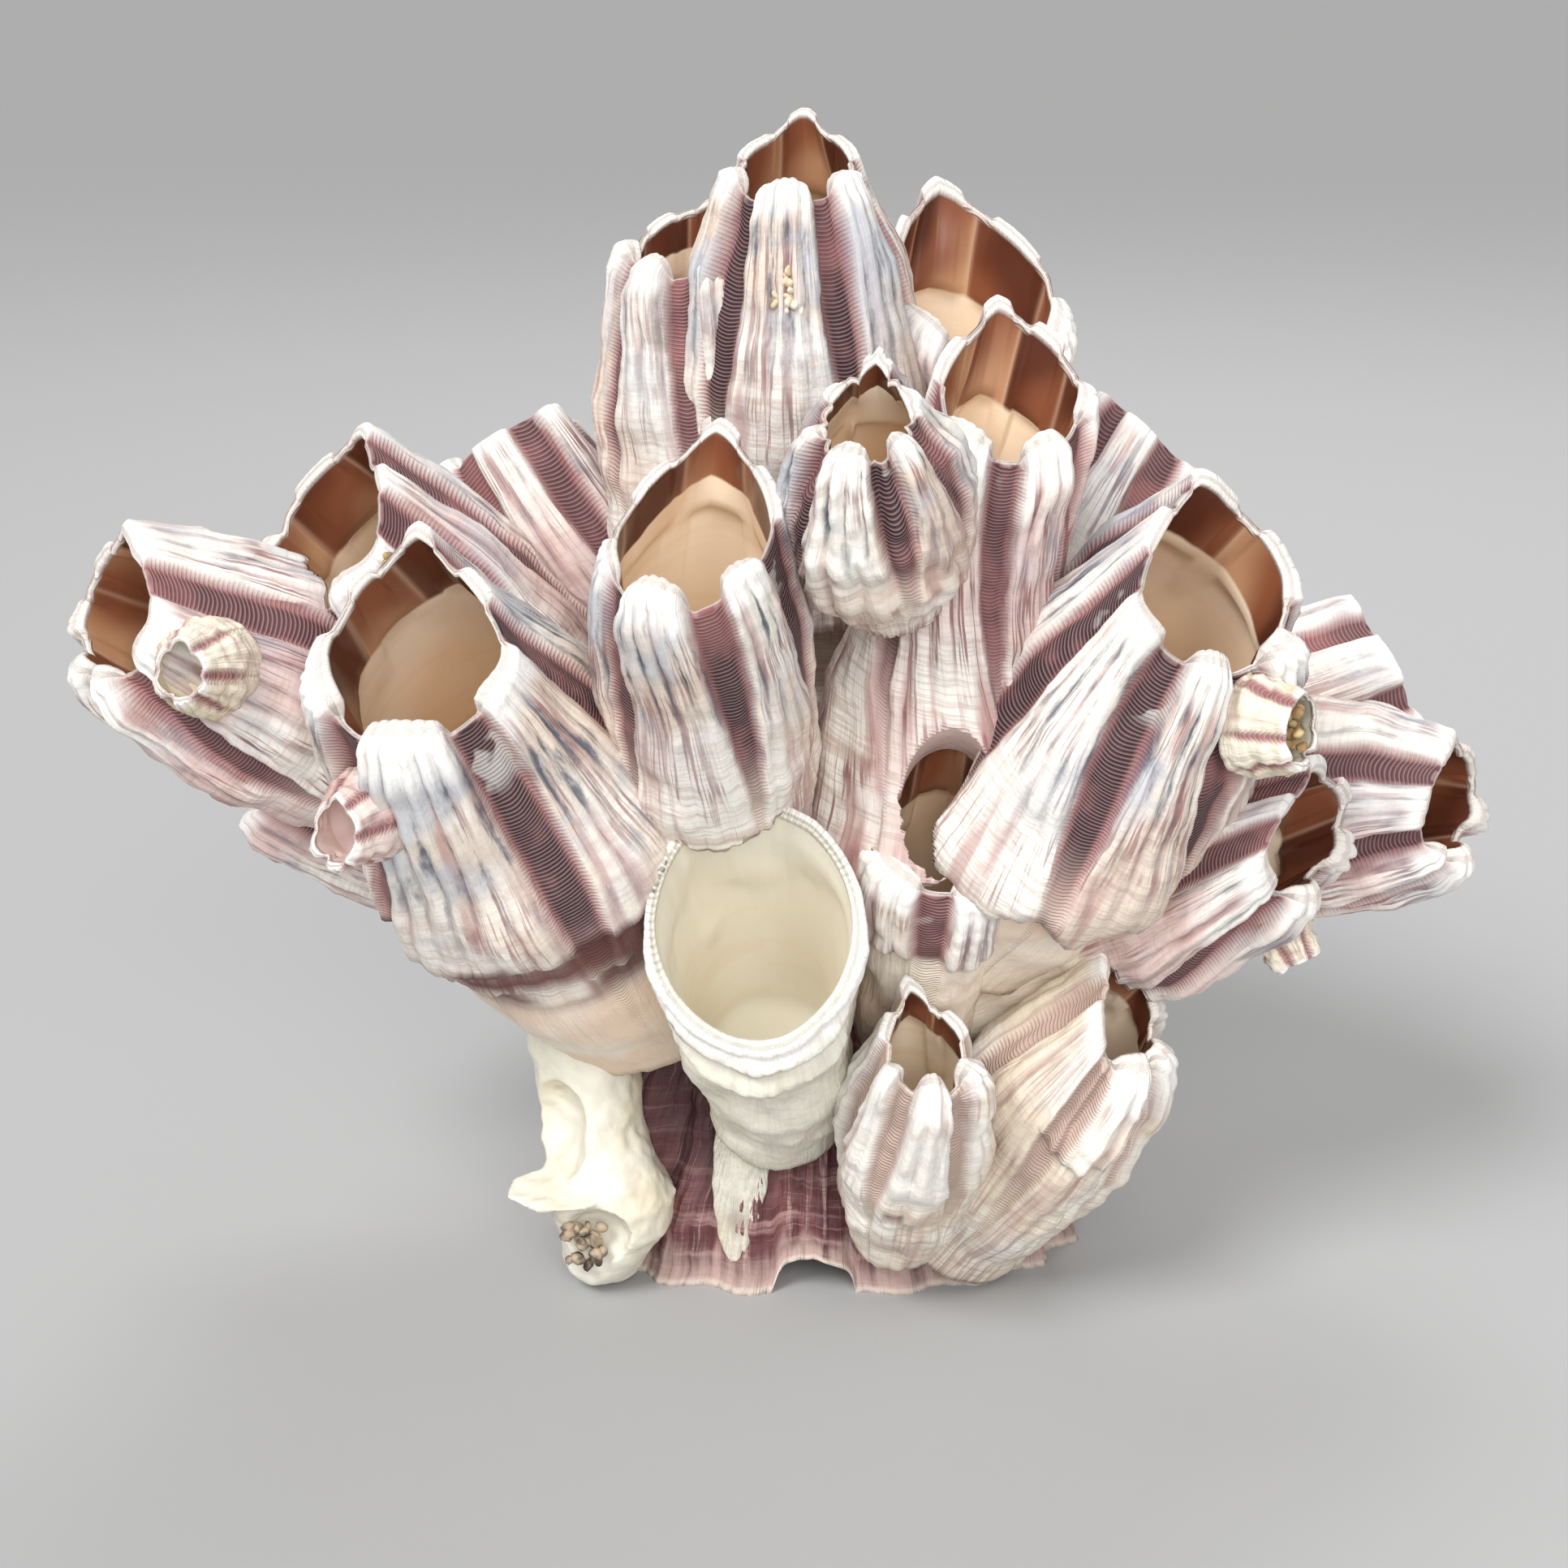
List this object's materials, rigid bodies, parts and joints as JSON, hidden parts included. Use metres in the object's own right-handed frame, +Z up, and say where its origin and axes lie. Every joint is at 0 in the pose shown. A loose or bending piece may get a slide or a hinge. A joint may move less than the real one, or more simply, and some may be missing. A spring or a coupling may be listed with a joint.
{
  "type": "barnacle cluster",
  "caption": "Cluster of ribbed acorn barnacle shells grown on one another, standing on the flat cut under its lowest shell.",
  "frame": {"origin": "below the middle of the whole cluster, on the flat cut that it stands on", "axes": "+Z up, +X to the right as seen from the front, the front faces -Y"},
  "size_m": [0.1496, 0.0869, 0.1274],
  "materials": {
    "shell": "chalky ribbed shell, white and pink with grey weathered tips, glossy brown inside the mouth",
    "foundation": "matt purple brown shell with paler upright ribs",
    "worn": "smooth worn cream shell"
  },
  "bodies": {
    "root": {"foundation_shell": "foundation", "front_right_shell": "shell", "front_small_shell": "shell", "open_base_shell": "shell", "hidden_shell": "shell", "back_low_shell": "shell", "left_large_shell": "shell", "centre_left_shell": "shell", "tall_shell": "shell", "right_large_shell": "shell", "right_low_shell": "shell", "bulb_shell": "shell", "left_upper_shell": "shell", "left_far_shell": "shell", "top_centre_shell": "shell", "top_right_shell": "shell", "top_left_shell": "shell", "left_mid_back_shell": "shell", "left_low_back_shell": "shell", "right_far_shell": "shell", "right_far_upper_shell": "shell", "right_back_shell": "shell", "back_middle_shell": "shell", "back_left_shell": "shell", "back_right_shell": "shell", "spat_left_far": "shell", "spat_left_large": "shell", "spat_right_large": "shell", "spat_right_low": "shell", "worn_stub": "worn"}
  },
  "joints": []
}
